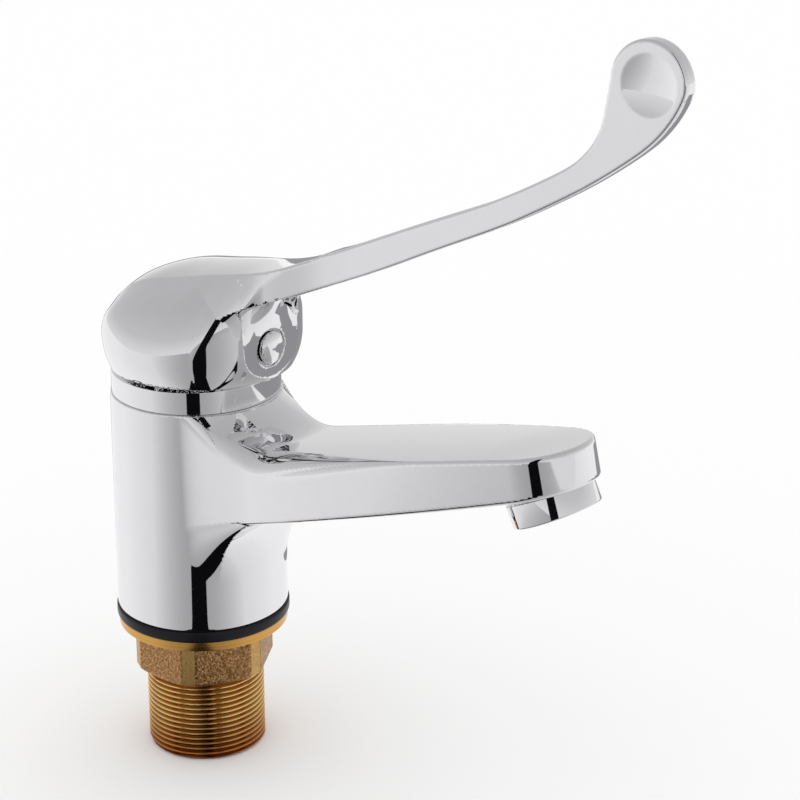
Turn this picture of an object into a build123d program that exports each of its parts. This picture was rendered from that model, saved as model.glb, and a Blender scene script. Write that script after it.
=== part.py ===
# Elbow lever tap: a single-hole mixer with a long elbow lever. All sizes are in millimetres.
# The origin is the centre of the base gasket's underside, where it rests on the deck.
# +Z is up, the spout points along +X, and the XZ plane is the plane of symmetry.

import os
from math import cos, radians, sin, sqrt, tan

from build123d import *

os.makedirs("parts", exist_ok=True)

# Shared allowances
overrun = 3.0
running_clearance = 0.06
slide_clearance = 0.1

# Barrel of the casting
gasket_thickness = 3.1
barrel_base_radius = 23.1
barrel_top_radius = 22.7
barrel_top = 64.0

# Spout of the casting, and how it flares out of the barrel
spout_reach = 125.3
spout_tip_radius = 14.2
spout_tip_turn = 83.0
spout_root_half_width = 13.4
spout_top_at_axis = 49.25
spout_top_slope = 13.1
spout_underside_at_axis = 27.47
spout_underside_slope = 18.2
spout_wall = 3.0
spout_under_edge = 5.0
spout_crease = 1.0
flare_radius = 22.0
top_flare_radius = 16.7
top_flare_reach = 40.6
stock_top = 100.0

# Seat of the outlet ring, square to an axis that leans outward at its foot
outlet_setback = 11.2
outlet_stand = 0.8
outlet_lean = 26.0
outlet_boss_radius = 11.3
outlet_socket_radius = 9.56
outlet_socket_depth = 7.0

# Outlet ring, its flow straightener and its washer
aerator_radius = 10.9
aerator_drop = 5.9
aerator_spigot_radius = 9.5
aerator_bore_radius = 8.6
aerator_lip_radius = 8.1
aerator_lip = 1.0
aerator_edge = 0.5
insert_depth = 8.4
insert_hole_radius = 0.8
insert_ring_pitch = 3.1
insert_slide = 0.05
washer_thickness = 1.5
washer_radius = 9.4
washer_bore_radius = 7.0

# Cartridge seat in the barrel
chamber_floor = 38.0
chamber_radius = 17.6
nut_thread_radius = 19.4
nut_thread_depth = 5.5

# Ports of the cartridge foot, and the waterways behind them
inlet_port_x = 5.0
inlet_port_y = 6.5
inlet_port_radius = 2.6
outlet_port_x = -4.0
outlet_port_radius = 3.0
inlet_thread_radius = 4.5
inlet_thread_depth = 12.0
waterway_z = 33.0
waterway_radius = 3.2
waterway_start_x = -9.0
waterway_turn_x = 20.0
core_start_x = 31.0
core_middle_x = 70.0
core_end_setback = 17.3
core_start_half_width = 10.4
core_middle_half_width = 13.8
core_end_half_width = 11.2
core_corner_share = 0.4

# Cartridge, from its foot upward
foot_thickness = 3.2
seal_groove = 1.0
seal_wall = 1.0
seal_inset = 0.4
fixed_disc_thickness = 3.0
fixed_disc_radius = 14.6
moving_disc_thickness = 3.4
moving_disc_radius = 12.0
moving_disc_x = -1.9
disc_pocket_x = -2.5
disc_pocket_radius = 5.2
disc_pocket_depth = 1.6
carrier_thickness = 3.8
carrier_floor = 0.5
carrier_play = 0.25
housing_radius = 17.5
housing_wall = 2.8
housing_roof = 2.0
housing_neck_radius = 13.4
housing_neck_height = 6.0
rotor_flange_thickness = 4.8
rotor_neck_radius = 11.0
rotor_neck_height = 11.1
stack_gap = 0.2

# Stem that tilts in the rotor on its pin
pivot_z = 60.0
stem_half_width = 4.0
stem_top = 88.5
stem_shoulder = 62.0
stem_tongue_half_width = 3.0
stem_eye_radius = 3.4
stem_neck_radius = 1.9
stem_ball_radius = 2.6
stem_ball_arm = 9.0
stem_edge = 0.4
pin_radius = 1.5
pin_half_length = 10.9
slot_half_width = 4.1
slot_short_side = 4.8
slot_long_side = 9.6

# Nut that holds the cartridge, and the sleeve around it
nut_collar_height = 5.0
nut_collar_half_flats = 16.6
nut_bore_radius = 13.5
trim_ring_inset = 0.4
trim_ring_bore_radius = 20.0
trim_ring_top = 70.8
trim_ring_lip = 1.2
trim_ring_lip_radius = 18.0
trim_ring_edge = 0.8

# Lever head: an off-centre round cup, cut flat in front, under a creased roof
head_radius = 26.1
head_offset = 2.7
head_front_cut = 2.1
head_foot = 71.7
head_foot_inset = 3.5
head_foot_rise = 5.2
head_roof_rise = 30.9
head_eaves = 3.9
head_wall = 1.6
head_cavity_straight = 5.0
head_cavity_top = 83.5
head_cavity_top_radius = 13.5
head_hub_radius = 9.5
head_hub_foot = 76.0
head_socket_top = 89.0

# Lever arm: an upright blade that curves up into a round elbow pad
arm_inner_x = 12.0
arm_inner_top = 98.0
arm_root_foot = 90.5
arm_root_top = 102.6
arm_root_slope = 12.5
arm_bend_x = 50.0
arm_bend_top = 110.7
arm_turn_back = 38.9
arm_turn_drop = 31.9
arm_crook_back = 17.3
arm_crook_drop = 19.1
arm_foot_turn_back = 35.3
arm_foot_turn_drop = 37.2
arm_foot_crook_back = 4.0
arm_foot_crook_drop = 17.9
arm_root_half_width = 9.1
pad_x = 138.3
pad_z = 164.7
pad_radius = 9.8
pad_leave_angle = 35.0
pad_half_thickness = 2.1
dish_radius = 7.2
dish_depth = 1.3

# Grub screw and index button in the front boss
button_z = 80.5
button_radius = 4.2
button_height = 1.6
button_edge = 0.8
button_plug_radius = 3.2
button_plug_length = 3.0
grub_radius = 2.5
grub_length = 7.0
grub_key_radius = 1.25
grub_key_depth = 2.5

# Deck fixing under the barrel
gasket_lip = 0.3
shank_radius = 16.0
shank_bore_radius = 13.4
shank_top = 18.0
shank_foot = -38.9
shank_edge = 0.9
clamp_washer_thickness = 2.5
clamp_washer_inset = 0.25
nut_height = 13.1
nut_half_flats = 17.4
nut_corner_radius = 18.9
nut_edge = 1.0
fixing_clearance = 0.08

# Levels and places worked out from the sizes above
spout_tip_x = spout_reach - spout_tip_radius
core_end_x = spout_reach - core_end_setback
barrel_draft = (barrel_base_radius - barrel_top_radius) / (barrel_top - gasket_thickness)
barrel_stock_radius = barrel_base_radius - barrel_draft * (stock_top - gasket_thickness)
gasket_radius = barrel_base_radius + gasket_lip
clamp_washer_radius = barrel_base_radius - clamp_washer_inset
trim_ring_radius = barrel_top_radius - trim_ring_inset
foot_top = chamber_floor + foot_thickness
fixed_disc_top = foot_top + fixed_disc_thickness
moving_disc_top = fixed_disc_top + moving_disc_thickness
carrier_top = moving_disc_top + carrier_thickness
rotor_foot = carrier_top + stack_gap
rotor_shoulder = rotor_foot + rotor_flange_thickness
rotor_top = rotor_shoulder + rotor_neck_height
housing_ceiling = rotor_shoulder + slide_clearance
housing_shoulder = housing_ceiling + housing_roof
housing_bore_radius = housing_radius - housing_wall
nut_foot = barrel_top - nut_thread_depth
stem_ball_z = pivot_z - stem_ball_arm
inlet_places = [(inlet_port_x, inlet_port_y), (inlet_port_x, -inlet_port_y)]
head_front_x = head_offset + head_radius - head_front_cut
head_foot_radius = head_radius - head_foot_inset
head_eaves_half_width = head_radius + head_eaves
head_cavity_radius = head_radius - head_offset - head_wall
arm_turn_x = pad_x - arm_turn_back
arm_turn_top = pad_z - arm_turn_drop
arm_crook_x = pad_x - arm_crook_back
arm_crook_top = pad_z - arm_crook_drop
arm_foot_turn_x = pad_x - arm_foot_turn_back
arm_foot_turn_z = pad_z - arm_foot_turn_drop
arm_foot_crook_x = pad_x - arm_foot_crook_back
arm_foot_crook_z = pad_z - arm_foot_crook_drop

# Roof of the lever head as sections along X: place and crease half width as shares of the head's
# radius, crease and ridge heights as shares of the roof's rise, then the slope of its sides
roof_shares = [
    (-0.92, 0.56, 0.01, 0.25, 36),
    (-0.70, 0.57, 0.345, 0.56, 36),
    (-0.46, 0.563, 0.625, 0.73, 36),
    (-0.19, 0.50, 0.77, 0.83, 36),
    (0.25, 0.437, 0.854, 0.90, 38),
    (1.03, 0.35, 0.98, 1.0, 46),
]

# Plan of the lever arm: distance along it, and half width, as shares of its length and root half width
arm_plan_shares = [
    (0.07, 0.88),
    (0.15, 0.57),
    (0.27, 0.385),
    (0.44, 0.33),
    (0.65, 0.30),
]

# Turns of the head's rounded foot, in degrees from its rim to its wall
foot_turns = [0, 30, 60, 90]


def spout_top(x):
    """Height of the spout's sloping top face at x."""
    return spout_top_at_axis + x * tan(radians(spout_top_slope))


def spout_underside(x):
    """Height of the spout's sloping underside at x."""
    return spout_underside_at_axis + x * tan(radians(spout_underside_slope))


def heading(angle):
    """Direction at an angle, in degrees, within the drawing plane."""
    return (cos(radians(angle)), sin(radians(angle)))


outlet_x = spout_reach - outlet_setback
outlet_z = spout_underside(outlet_x) - outlet_stand
outlet_plane = Plane(
    origin=(outlet_x, 0, outlet_z),
    x_dir=(cos(radians(outlet_lean)), 0, sin(radians(outlet_lean))),
    z_dir=(sin(radians(outlet_lean)), 0, -cos(radians(outlet_lean))),
)
top_slope_plane = Plane(
    origin=(0, 0, spout_top(0)),
    x_dir=(cos(radians(spout_top_slope)), 0, sin(radians(spout_top_slope))),
    z_dir=(0, -1, 0),
)
top_slope_axis = Axis(
    (0, 0, spout_top(0)),
    (-sin(radians(spout_top_slope)), 0, cos(radians(spout_top_slope))),
)

# Body casting: barrel and spout in one piece, with the cartridge chamber, waterways and sockets
with BuildPart() as body_casting:
    # the spout starts as a tall block with its sloping underside
    with BuildSketch(Plane.XZ):
        with BuildLine():
            Polyline(
                (0, spout_underside(0)),
                (spout_reach + overrun, spout_underside(spout_reach + overrun)),
                (spout_reach + overrun, stock_top),
                (0, stock_top),
                close=True,
            )
        make_face()
    extrude(amount=barrel_base_radius, both=True)
    # its plan bulges a little between the barrel and the round tip
    with BuildSketch(Plane.XY):
        with BuildLine():
            tip_side_x = spout_tip_x + spout_tip_radius * cos(radians(spout_tip_turn))
            tip_side_y = spout_tip_radius * sin(radians(spout_tip_turn))
            ThreePointArc((tip_side_x, tip_side_y), (spout_reach, 0), (tip_side_x, -tip_side_y))
            right_side = TangentArc(
                (tip_side_x, -tip_side_y),
                (0, -spout_root_half_width),
                tangent=heading(-90 - spout_tip_turn),
            )
            left_side = TangentArc(
                (tip_side_x, tip_side_y),
                (0, spout_root_half_width),
                tangent=heading(90 + spout_tip_turn),
            )
            Line(right_side @ 1, left_side @ 1)
        make_face()
    extrude(amount=stock_top, mode=Mode.INTERSECT)
    fillet(body_casting.edges().filter_by(GeomType.ELLIPSE), spout_under_edge)
    # barrel, with a slight draft and its seam at the back
    with BuildSketch(Plane.XZ):
        with BuildLine():
            Polyline(
                (0, gasket_thickness),
                (-barrel_base_radius, gasket_thickness),
                (-barrel_stock_radius, stock_top),
                (0, stock_top),
                close=True,
            )
        make_face()
    revolve(axis=Axis.Z)
    # the spout's sides and underside flare into the barrel
    barrel_wall = body_casting.faces().filter_by(GeomType.CONE)[0]
    junction = [
        edge
        for edge in barrel_wall.edges()
        if edge.geom_type in (GeomType.BSPLINE, GeomType.ELLIPSE)
    ]
    fillet(junction, flare_radius)
    # the sloping top face is cut last, and rises round the barrel in one sweep
    with BuildSketch(top_slope_plane):
        with BuildLine():
            sweep_inner = top_flare_reach - top_flare_radius
            sweep_arc = RadiusArc((sweep_inner, top_flare_radius), (top_flare_reach, 0), -top_flare_radius)
            Polyline(
                sweep_arc @ 1,
                (2 * spout_reach, 0),
                (2 * spout_reach, stock_top),
                (sweep_inner, stock_top),
                sweep_arc @ 0,
            )
        make_face()
    revolve(axis=top_slope_axis, mode=Mode.SUBTRACT)
    with BuildSketch(Plane.XY.offset(barrel_top)):
        Rectangle(2 * top_flare_reach, 4 * barrel_base_radius)
    extrude(amount=stock_top, mode=Mode.SUBTRACT)
    # soft crease round the top face
    top_faces = [body_casting.faces().filter_by(GeomType.TORUS).sort_by(Axis.Z)[-1]]
    top_faces += [
        face
        for face in body_casting.faces().filter_by(GeomType.PLANE)
        if abs(face.center().Z - spout_top(face.center().X)) < running_clearance
    ]
    crease = [
        edge
        for face in top_faces
        for edge in face.edges()
        if edge.geom_type != GeomType.CIRCLE and abs(edge.center().Z - barrel_top) > spout_crease
    ]
    fillet(crease, spout_crease)
    # boss round the outlet
    with BuildSketch(outlet_plane.offset(-outlet_socket_depth)):
        Circle(outlet_boss_radius)
    extrude(amount=outlet_socket_depth)
    # chamber for the cartridge, with a wider thread above it for the nut
    with BuildSketch(Plane.XY.offset(chamber_floor)):
        Circle(chamber_radius)
    extrude(amount=barrel_top, mode=Mode.SUBTRACT)
    with BuildSketch(Plane.XY.offset(nut_foot)):
        Circle(nut_thread_radius + slide_clearance)
    extrude(amount=barrel_top, mode=Mode.SUBTRACT)
    # socket for the shank
    with BuildSketch(Plane.XY.offset(gasket_thickness - overrun)):
        Circle(shank_radius + fixing_clearance)
    extrude(amount=shank_top - gasket_thickness + overrun, mode=Mode.SUBTRACT)
    # threaded inlets below the chamber, and their ports up through its floor
    with BuildSketch(Plane.XY.offset(shank_top - overrun)):
        with Locations(inlet_places):
            Circle(inlet_thread_radius)
    extrude(amount=inlet_thread_depth + overrun, mode=Mode.SUBTRACT)
    with BuildSketch(Plane.XY.offset(shank_top)):
        with Locations(inlet_places):
            Circle(inlet_port_radius)
    extrude(amount=chamber_floor - shank_top + overrun, mode=Mode.SUBTRACT)
    # outlet port, then the waterway that runs between the inlets to the spout
    with BuildSketch(Plane.XY.offset(waterway_z)):
        with Locations((outlet_port_x, 0)):
            Circle(outlet_port_radius)
    extrude(amount=chamber_floor - waterway_z + overrun, mode=Mode.SUBTRACT)
    with BuildSketch(Plane.YZ.offset(waterway_start_x)):
        with Locations((0, waterway_z)):
            Circle(waterway_radius)
    extrude(amount=waterway_turn_x - waterway_start_x, mode=Mode.SUBTRACT)
    # cored channel along the spout, one wall inside its top and underside
    core_sections = [
        (
            waterway_turn_x - waterway_radius,
            waterway_radius,
            waterway_z - waterway_radius,
            waterway_z + waterway_radius,
        ),
    ]
    for core_x, core_half_width in [
        (core_start_x, core_start_half_width),
        (core_middle_x, core_middle_half_width),
        (core_end_x, core_end_half_width),
    ]:
        core_foot = spout_underside(core_x) + spout_wall
        core_roof = spout_top(core_x) - spout_wall
        core_sections.append((core_x, core_half_width, core_foot, core_roof))
    for core_x, core_half_width, core_foot, core_roof in core_sections:
        core_height = core_roof - core_foot
        with BuildSketch(Plane.YZ.offset(core_x)):
            with Locations((0, core_foot + core_height / 2)):
                RectangleRounded(2 * core_half_width, core_height, core_corner_share * core_height)
    loft(ruled=True, mode=Mode.SUBTRACT)
    # threaded socket of the outlet ring, in a flat spot face
    with BuildSketch(outlet_plane.offset(-outlet_socket_depth)):
        Circle(outlet_socket_radius)
    extrude(amount=outlet_socket_depth + overrun, mode=Mode.SUBTRACT)
    with BuildSketch(outlet_plane):
        Circle(outlet_boss_radius)
    extrude(amount=aerator_drop, mode=Mode.SUBTRACT)
body_casting.part.label = "body_casting"
export_step(body_casting.part, "parts/body_casting.step")

# Trim ring: bright sleeve that stands on the barrel and hides the cartridge nut
with BuildPart() as trim_ring:
    with BuildSketch(Plane.XZ):
        with BuildLine():
            Polyline(
                (-trim_ring_bore_radius, barrel_top),
                (-trim_ring_radius, barrel_top),
                (-trim_ring_radius, trim_ring_top - trim_ring_edge),
                (trim_ring_edge - trim_ring_radius, trim_ring_top),
                (-trim_ring_lip_radius, trim_ring_top),
                (-trim_ring_lip_radius, trim_ring_top - trim_ring_lip),
                (-trim_ring_bore_radius, trim_ring_top - trim_ring_lip),
                close=True,
            )
        make_face()
    revolve(axis=Axis.Z)
trim_ring.part.label = "trim_ring"
export_step(trim_ring.part, "parts/trim_ring.step")

# Blade of the lever arm with its pad, drawn from the side and then narrowed in plan
with BuildPart() as arm_blade:
    with BuildSketch(Plane.XZ):
        with BuildLine():
            top_direction = (arm_turn_x - arm_bend_x, arm_turn_top - arm_bend_top)
            foot_direction = (head_front_x - arm_foot_turn_x, arm_root_foot - arm_foot_turn_z)
            root_top = Spline(
                (head_front_x, arm_root_top),
                (arm_bend_x, arm_bend_top),
                tangents=[heading(arm_root_slope), top_direction],
            )
            straight_top = Line(root_top @ 1, (arm_turn_x, arm_turn_top))
            crook_top = Spline(
                straight_top @ 1,
                (arm_crook_x, arm_crook_top),
                (pad_x - pad_radius, pad_z),
                tangents=[top_direction, (0, 1)],
            )
            pad_leave = heading(-pad_leave_angle)
            pad_rim = ThreePointArc(
                crook_top @ 1,
                (pad_x, pad_z + pad_radius),
                (pad_x + pad_radius * pad_leave[0], pad_z + pad_radius * pad_leave[1]),
            )
            crook_foot = Spline(
                pad_rim @ 1,
                (arm_foot_crook_x, arm_foot_crook_z),
                (arm_foot_turn_x, arm_foot_turn_z),
                tangents=[heading(-90 - pad_leave_angle), foot_direction],
            )
            Polyline(
                crook_foot @ 1,
                (head_front_x, arm_root_foot),
                (arm_inner_x, arm_root_foot),
                (arm_inner_x, arm_inner_top),
                root_top @ 0,
            )
        make_face()
    extrude(amount=head_radius, both=True)
    arm_end_x = pad_x + pad_radius + overrun
    arm_length = pad_x + pad_radius - head_front_x
    plan_places = [(head_front_x, arm_root_half_width)]
    for along_share, width_share in arm_plan_shares:
        plan_places.append((head_front_x + along_share * arm_length, width_share * arm_root_half_width))
    plan_places.append((pad_x, pad_half_thickness))
    with BuildSketch(Plane.XY):
        with BuildLine():
            left_flank = Spline(plan_places, tangents=[(1, 0), (1, 0)])
            right_flank = Spline([(x, -y) for x, y in plan_places], tangents=[(1, 0), (1, 0)])
            Polyline(
                left_flank @ 1,
                (arm_end_x, pad_half_thickness),
                (arm_end_x, -pad_half_thickness),
                right_flank @ 1,
            )
            Polyline(
                left_flank @ 0,
                (0, arm_root_half_width),
                (0, -arm_root_half_width),
                right_flank @ 0,
            )
        make_face()
    extrude(amount=2 * pad_z, mode=Mode.INTERSECT)

# Lever: head, arm and pad in one casting, hollow over the cartridge, with a hub for the stem
with BuildPart() as lever:
    for foot_turn in foot_turns:
        turn_sine = sin(radians(foot_turn))
        with BuildSketch(Plane.XY.offset(head_foot + head_foot_rise * (1 - cos(radians(foot_turn))))):
            with Locations((head_offset * turn_sine, 0)):
                Circle(head_foot_radius + (head_radius - head_foot_radius) * turn_sine)
    loft()
    with BuildSketch(Plane.XY.offset(head_foot + head_foot_rise)):
        with Locations((head_offset, 0)):
            Circle(head_radius)
    extrude(amount=head_roof_rise)
    # creased roof: a low crown between two slanted sides
    for along_share, crease_share, crease_height_share, ridge_share, side_slope in roof_shares:
        crease_y = crease_share * head_radius
        crease_z = head_foot + crease_height_share * head_roof_rise
        eaves_z = crease_z - (head_eaves_half_width - crease_y) * tan(radians(side_slope))
        with BuildSketch(Plane.YZ.offset(along_share * head_radius)):
            with BuildLine():
                crown = ThreePointArc(
                    (-crease_y, crease_z), (0, head_foot + ridge_share * head_roof_rise), (crease_y, crease_z)
                )
                Polyline(
                    crown @ 1,
                    (head_eaves_half_width, eaves_z),
                    (head_eaves_half_width, 0),
                    (-head_eaves_half_width, 0),
                    (-head_eaves_half_width, eaves_z),
                    crown @ 0,
                )
            make_face()
    loft(mode=Mode.INTERSECT)
    # flat front face
    with BuildSketch(Plane.YZ.offset(head_front_x)):
        with Locations((0, head_foot + head_roof_rise / 2)):
            Rectangle(2 * head_eaves_half_width, 2 * head_roof_rise)
    extrude(amount=head_radius, mode=Mode.SUBTRACT)
    add(arm_blade.part)
    # hollow over the cartridge nut, and the hub inside it
    with BuildSketch(Plane.XZ):
        with BuildLine():
            Polyline(
                (0, head_foot - overrun),
                (-head_cavity_radius, head_foot - overrun),
                (-head_cavity_radius, head_foot + head_cavity_straight),
                (-head_cavity_top_radius, head_cavity_top),
                (0, head_cavity_top),
                close=True,
            )
        make_face()
    revolve(axis=Axis.Z, mode=Mode.SUBTRACT)
    with BuildSketch(Plane.XY.offset(head_hub_foot)):
        Circle(head_hub_radius)
    extrude(amount=head_cavity_top - head_hub_foot + overrun)
    with BuildSketch(Plane.XY.offset(head_hub_foot - overrun)):
        Rectangle(2 * (stem_half_width + slide_clearance), 2 * (stem_half_width + slide_clearance))
    extrude(amount=head_socket_top - head_hub_foot + overrun, mode=Mode.SUBTRACT)
    # threaded hole of the grub screw, and the hole of the index button in front of it
    with BuildSketch(Plane.YZ):
        with Locations((0, button_z)):
            Circle(grub_radius)
    extrude(amount=head_hub_radius + overrun, mode=Mode.SUBTRACT)
    with BuildSketch(Plane.YZ.offset(head_cavity_top_radius)):
        with Locations((0, button_z)):
            Circle(button_plug_radius)
    extrude(amount=head_front_x, mode=Mode.SUBTRACT)
    # dish in each face of the pad
    dish_ball_radius = (dish_radius**2 + dish_depth**2) / (2 * dish_depth)
    dish_ball_y = pad_half_thickness - dish_depth + dish_ball_radius
    with Locations((pad_x, dish_ball_y, pad_z), (pad_x, -dish_ball_y, pad_z)):
        Sphere(dish_ball_radius, mode=Mode.SUBTRACT)
lever.part.label = "lever"
export_step(lever.part, "parts/lever.step")

# Index button: domed flange on the front boss, with a plug in its hole
with BuildPart() as index_button:
    with BuildSketch(Plane.YZ.offset(head_front_x)):
        with Locations((0, button_z)):
            Circle(button_radius)
    extrude(amount=button_height)
    fillet(index_button.edges().sort_by(Axis.X)[-1], button_edge)
    with BuildSketch(Plane.YZ.offset(head_front_x - button_plug_length)):
        with Locations((0, button_z)):
            Circle(button_plug_radius)
    extrude(amount=button_plug_length)
index_button.part.label = "index_button"
export_step(index_button.part, "parts/index_button.step")

# Grub screw: bears on the flat of the stem, with a hexagon key socket in front
with BuildPart() as grub_screw:
    with BuildSketch(Plane.YZ.offset(stem_half_width)):
        with Locations((0, button_z)):
            Circle(grub_radius)
    extrude(amount=grub_length)
    with BuildSketch(Plane.YZ.offset(stem_half_width + grub_length - grub_key_depth)):
        with Locations((0, button_z)):
            RegularPolygon(grub_key_radius, 6)
    extrude(amount=grub_key_depth + overrun, mode=Mode.SUBTRACT)
grub_screw.part.label = "grub_screw"
export_step(grub_screw.part, "parts/grub_screw.step")

# Cartridge nut: thread in the barrel below a hexagon collar
with BuildPart() as cartridge_nut:
    with BuildSketch(Plane.XY.offset(nut_foot)):
        Circle(nut_thread_radius)
    extrude(amount=nut_thread_depth)
    with BuildSketch(Plane.XY.offset(barrel_top)):
        RegularPolygon(nut_collar_half_flats, 6, major_radius=False)
    extrude(amount=nut_collar_height)
    with BuildSketch(Plane.XY.offset(nut_foot - overrun)):
        Circle(nut_bore_radius)
    extrude(amount=nut_thread_depth + nut_collar_height + 2 * overrun, mode=Mode.SUBTRACT)
cartridge_nut.part.label = "cartridge_nut"
export_step(cartridge_nut.part, "parts/cartridge_nut.step")

# Cartridge housing: cup over the discs and the rotor, with a neck round the rotor's stem
with BuildPart() as cartridge_housing:
    with BuildSketch(Plane.XZ):
        with BuildLine():
            Polyline(
                (-housing_bore_radius, foot_top),
                (-housing_radius, foot_top),
                (-housing_radius, housing_shoulder),
                (-housing_neck_radius, housing_shoulder),
                (-housing_neck_radius, housing_shoulder + housing_neck_height),
                (-rotor_neck_radius - running_clearance, housing_shoulder + housing_neck_height),
                (-rotor_neck_radius - running_clearance, housing_ceiling),
                (-housing_bore_radius, housing_ceiling),
                close=True,
            )
        make_face()
    revolve(axis=Axis.Z)
cartridge_housing.part.label = "cartridge_housing"
export_step(cartridge_housing.part, "parts/cartridge_housing.step")

# Each port of the cartridge foot: its place and radius
ports = [(place, inlet_port_radius) for place in inlet_places]
ports.append(((outlet_port_x, 0), outlet_port_radius))

# Cartridge foot: three ports, each with a groove for its seal underneath
with BuildPart() as cartridge_base:
    with BuildSketch(Plane.XY.offset(chamber_floor)):
        Circle(housing_radius)
    extrude(amount=foot_thickness)
    for place, port_radius in ports:
        with BuildSketch(Plane.XY.offset(chamber_floor - overrun)):
            with Locations(place):
                Circle(port_radius)
        extrude(amount=foot_thickness + 2 * overrun, mode=Mode.SUBTRACT)
        with BuildSketch(Plane.XY.offset(chamber_floor - overrun)):
            with Locations(place):
                Circle(port_radius + seal_inset + seal_wall)
                Circle(port_radius + seal_inset, mode=Mode.SUBTRACT)
        extrude(amount=seal_groove + overrun, mode=Mode.SUBTRACT)
cartridge_base.part.label = "cartridge_base"
export_step(cartridge_base.part, "parts/cartridge_base.step")

# Three seals in the grooves of the foot
with BuildPart() as cartridge_seals:
    for place, port_radius in ports:
        with BuildSketch(Plane.XY.offset(chamber_floor)):
            with Locations(place):
                Circle(port_radius + seal_inset + seal_wall)
                Circle(port_radius + seal_inset, mode=Mode.SUBTRACT)
        extrude(amount=seal_groove)
cartridge_seals.part.label = "cartridge_seals"
export_step(cartridge_seals.part, "parts/cartridge_seals.step")

# Fixed ceramic disc with the three ports
with BuildPart() as fixed_disc:
    with BuildSketch(Plane.XY.offset(foot_top)):
        Circle(fixed_disc_radius)
        for place, port_radius in ports:
            with Locations(place):
                Circle(port_radius, mode=Mode.SUBTRACT)
    extrude(amount=fixed_disc_thickness)
fixed_disc.part.label = "fixed_disc"
export_step(fixed_disc.part, "parts/fixed_disc.step")

# Moving ceramic disc with the mixing pocket underneath
with BuildPart() as moving_disc:
    with BuildSketch(Plane.XY.offset(fixed_disc_top)):
        with Locations((moving_disc_x, 0)):
            Circle(moving_disc_radius)
    extrude(amount=moving_disc_thickness)
    with BuildSketch(Plane.XY.offset(fixed_disc_top - overrun)):
        with Locations((disc_pocket_x, 0)):
            Circle(disc_pocket_radius)
    extrude(amount=disc_pocket_depth + overrun, mode=Mode.SUBTRACT)
moving_disc.part.label = "moving_disc"
export_step(moving_disc.part, "parts/moving_disc.step")

# Carrier that drives the moving disc, with a pocket for the ball of the stem
with BuildPart() as disc_carrier:
    with BuildSketch(Plane.XY.offset(moving_disc_top)):
        with Locations((moving_disc_x, 0)):
            Circle(moving_disc_radius)
    extrude(amount=carrier_thickness)
    with BuildSketch(Plane.XY.offset(moving_disc_top + carrier_floor)):
        Rectangle(2 * (stem_ball_radius + carrier_play), 2 * (stem_ball_radius + carrier_play))
    extrude(amount=carrier_thickness, mode=Mode.SUBTRACT)
disc_carrier.part.label = "disc_carrier"
export_step(disc_carrier.part, "parts/disc_carrier.step")

# Rotor: turning guide with a slot that the stem tilts in
with BuildPart() as rotor:
    with BuildSketch(Plane.XY.offset(rotor_foot)):
        Circle(housing_bore_radius - running_clearance)
    extrude(amount=rotor_flange_thickness)
    with BuildSketch(Plane.XY.offset(rotor_shoulder)):
        Circle(rotor_neck_radius)
    extrude(amount=rotor_neck_height)
    slot_length = slot_long_side + slot_short_side
    slot_middle = (slot_long_side - slot_short_side) / 2
    with BuildSketch(Plane.XY.offset(pivot_z)):
        with Locations((-slot_middle, 0)):
            Rectangle(slot_length, 2 * slot_half_width)
    extrude(amount=rotor_top - pivot_z + overrun, mode=Mode.SUBTRACT)
    with BuildSketch(Plane.XY.offset(rotor_foot - overrun)):
        with Locations((slot_middle, 0)):
            Rectangle(slot_length, 2 * slot_half_width)
    extrude(amount=pivot_z - rotor_foot + overrun, mode=Mode.SUBTRACT)
    with BuildSketch(Plane.XZ):
        with Locations((0, pivot_z)):
            Circle(pin_radius)
    extrude(amount=rotor_neck_radius + overrun, both=True, mode=Mode.SUBTRACT)
rotor.part.label = "rotor"
export_step(rotor.part, "parts/rotor.step")

# Pivot pin, fixed in the rotor
with BuildPart() as stem_pin:
    with BuildSketch(Plane.XZ):
        with Locations((0, pivot_z)):
            Circle(pin_radius)
    extrude(amount=pin_half_length, both=True)
stem_pin.part.label = "stem_pin"
export_step(stem_pin.part, "parts/stem_pin.step")

# Stem: square shaft above the pin, an eye round it, and a ball at its foot
with BuildPart() as stem:
    with BuildSketch(Plane.XY.offset(stem_shoulder)):
        Rectangle(2 * stem_half_width, 2 * stem_half_width)
    extrude(amount=stem_top - stem_shoulder)
    chamfer(stem.faces().sort_by(Axis.Z)[-1].edges(), stem_edge)
    with BuildSketch(Plane.XZ):
        with BuildLine():
            ball_outline = ThreePointArc(
                (0, stem_ball_z - stem_ball_radius),
                (-stem_ball_radius, stem_ball_z),
                (-stem_neck_radius, stem_ball_z + sqrt(stem_ball_radius**2 - stem_neck_radius**2)),
            )
            Polyline(ball_outline @ 1, (-stem_neck_radius, pivot_z), (0, pivot_z), ball_outline @ 0)
        make_face()
    revolve(axis=Axis.Z)
    with BuildSketch(Plane.XZ):
        with Locations((0, pivot_z)):
            Circle(stem_eye_radius)
    extrude(amount=stem_half_width, both=True)
    with BuildSketch(Plane.XY.offset(pivot_z)):
        Rectangle(2 * stem_tongue_half_width, 2 * stem_half_width)
    extrude(amount=stem_shoulder - pivot_z)
    with BuildSketch(Plane.XZ):
        with Locations((0, pivot_z)):
            Circle(pin_radius + running_clearance)
    extrude(amount=stem_half_width + overrun, both=True, mode=Mode.SUBTRACT)
stem.part.label = "stem"
export_step(stem.part, "parts/stem.step")

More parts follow.
